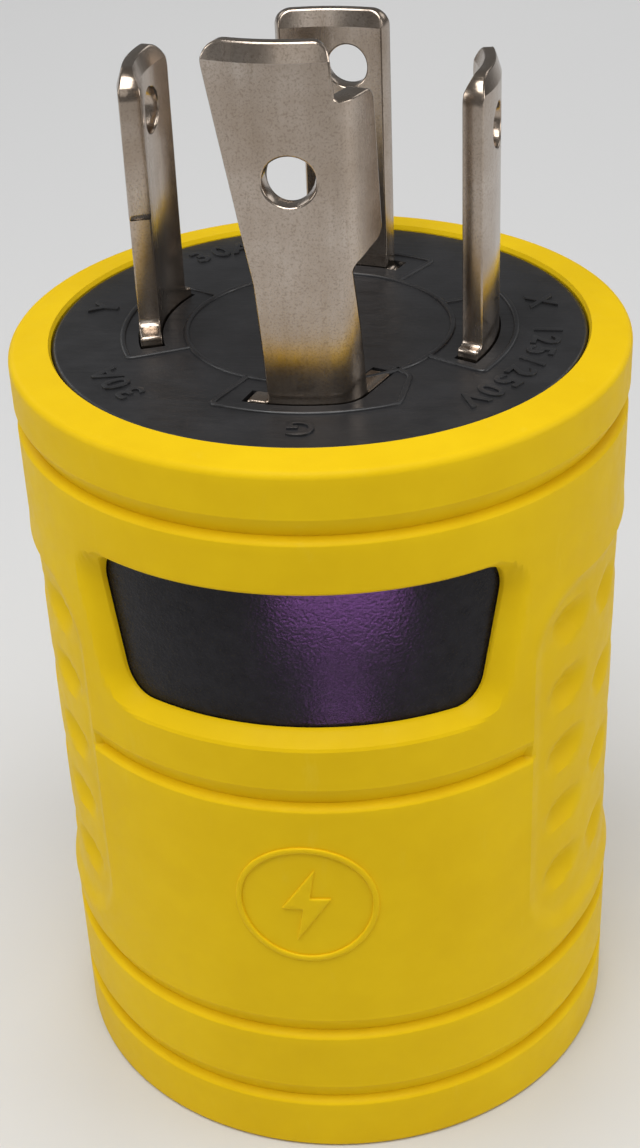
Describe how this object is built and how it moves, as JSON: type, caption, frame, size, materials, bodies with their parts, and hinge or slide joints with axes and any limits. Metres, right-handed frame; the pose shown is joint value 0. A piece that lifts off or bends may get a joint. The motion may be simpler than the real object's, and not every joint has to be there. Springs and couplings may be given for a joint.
{
  "type": "power adapter",
  "caption": "Compact round power adapter with a curved-blade locking plug on one end and a travel-trailer receptacle on the other, in a soft grooved grip jacket with a window.",
  "frame": {"origin": "centre of the receptacle's flat end face, on which the adapter stands", "axes": "+Z along the body toward the plug blades; the jacket's window and the ground blade face -Y"},
  "size_m": [0.056, 0.056, 0.1054],
  "materials": {
    "jacket_yellow": "soft satin overmould, fine moulded grain",
    "core_black": "fine leather-like moulded grain, satin",
    "face_black": "satin moulded plastic with raised lines",
    "carrier_grey": "plain moulded insulator",
    "blade_nickel": "nickel-plated stamped brass, light handling marks",
    "contact_brass": "plain stamped brass",
    "screw_steel": "zinc-plated steel",
    "lug_tin": "tin-plated copper terminals, metal like bare bright metal",
    "wire_copper": "bare copper wire",
    "insulation_black": "flexible wire insulation",
    "insulation_white": "flexible wire insulation",
    "insulation_green": "flexible wire insulation"
  },
  "bodies": {
    "adapter_body": {"assembly_screws": "screw_steel", "blade_carrier": "carrier_grey", "blade_ground": "blade_nickel", "blade_line_x": "blade_nickel", "blade_line_y": "blade_nickel", "blade_lugs": "lug_tin", "blade_neutral": "blade_nickel", "blade_screws": "screw_steel", "contact_base_ground": "contact_brass", "contact_base_line": "contact_brass", "contact_base_neutral": "contact_brass", "contact_carrier": "carrier_grey", "contact_lugs": "lug_tin", "contact_rivets": "screw_steel", "contact_screws": "screw_steel", "core_shell_front": "core_black", "core_shell_rear": "core_black", "lead_ground_conductor": "wire_copper", "lead_ground_insulation": "insulation_green", "lead_line_conductor": "wire_copper", "lead_line_insulation": "insulation_black", "lead_neutral_conductor": "wire_copper", "lead_neutral_insulation": "insulation_white", "outer_jacket": "jacket_yellow", "plug_face": "face_black", "receptacle_face": "face_black"},
    "line_leaf_a": {"contact_leaf_line_a": "contact_brass"},
    "line_leaf_b": {"contact_leaf_line_b": "contact_brass"},
    "neutral_leaf_a": {"contact_leaf_neutral_a": "contact_brass"},
    "neutral_leaf_b": {"contact_leaf_neutral_b": "contact_brass"},
    "ground_leaf_a": {"contact_leaf_ground_a": "contact_brass"},
    "ground_leaf_b": {"contact_leaf_ground_b": "contact_brass"}
  },
  "joints": [
    {"name": "line_leaf_a_flex", "type": "hinge", "parent": "adapter_body", "child": "line_leaf_a", "pos_m": [0.0092, 0.006, 0.0256], "axis": [-0.7071, 0.7071, 0], "range_deg": [-2, 0], "stiffness_Nm_per_rad": 0.02},
    {"name": "line_leaf_b_flex", "type": "hinge", "parent": "adapter_body", "child": "line_leaf_b", "pos_m": [0.00821, 0.005, 0.0256], "axis": [-0.7071, 0.7071, 0], "range_deg": [0, 2], "stiffness_Nm_per_rad": 0.02},
    {"name": "neutral_leaf_a_flex", "type": "hinge", "parent": "adapter_body", "child": "neutral_leaf_a", "pos_m": [-0.00821, 0.005, 0.0256], "axis": [0.7071, 0.7071, 0], "range_deg": [-2, 0], "stiffness_Nm_per_rad": 0.02},
    {"name": "neutral_leaf_b_flex", "type": "hinge", "parent": "adapter_body", "child": "neutral_leaf_b", "pos_m": [-0.0092, 0.006, 0.0256], "axis": [0.7071, 0.7071, 0], "range_deg": [0, 2], "stiffness_Nm_per_rad": 0.02},
    {"name": "ground_leaf_a_flex", "type": "hinge", "parent": "adapter_body", "child": "ground_leaf_a", "pos_m": [0.0033, -0.0085, 0.0256], "axis": [0, 1, 0], "range_deg": [-1.6, 0], "stiffness_Nm_per_rad": 0.02},
    {"name": "ground_leaf_b_flex", "type": "hinge", "parent": "adapter_body", "child": "ground_leaf_b", "pos_m": [-0.0033, -0.0085, 0.0256], "axis": [0, 1, 0], "range_deg": [0, 1.6], "stiffness_Nm_per_rad": 0.02}
  ],
  "couplings": [
    {"joint": "line_leaf_b_flex", "follows": "line_leaf_a_flex", "ratio": -1},
    {"joint": "neutral_leaf_b_flex", "follows": "neutral_leaf_a_flex", "ratio": -1},
    {"joint": "ground_leaf_b_flex", "follows": "ground_leaf_a_flex", "ratio": -1}
  ]
}
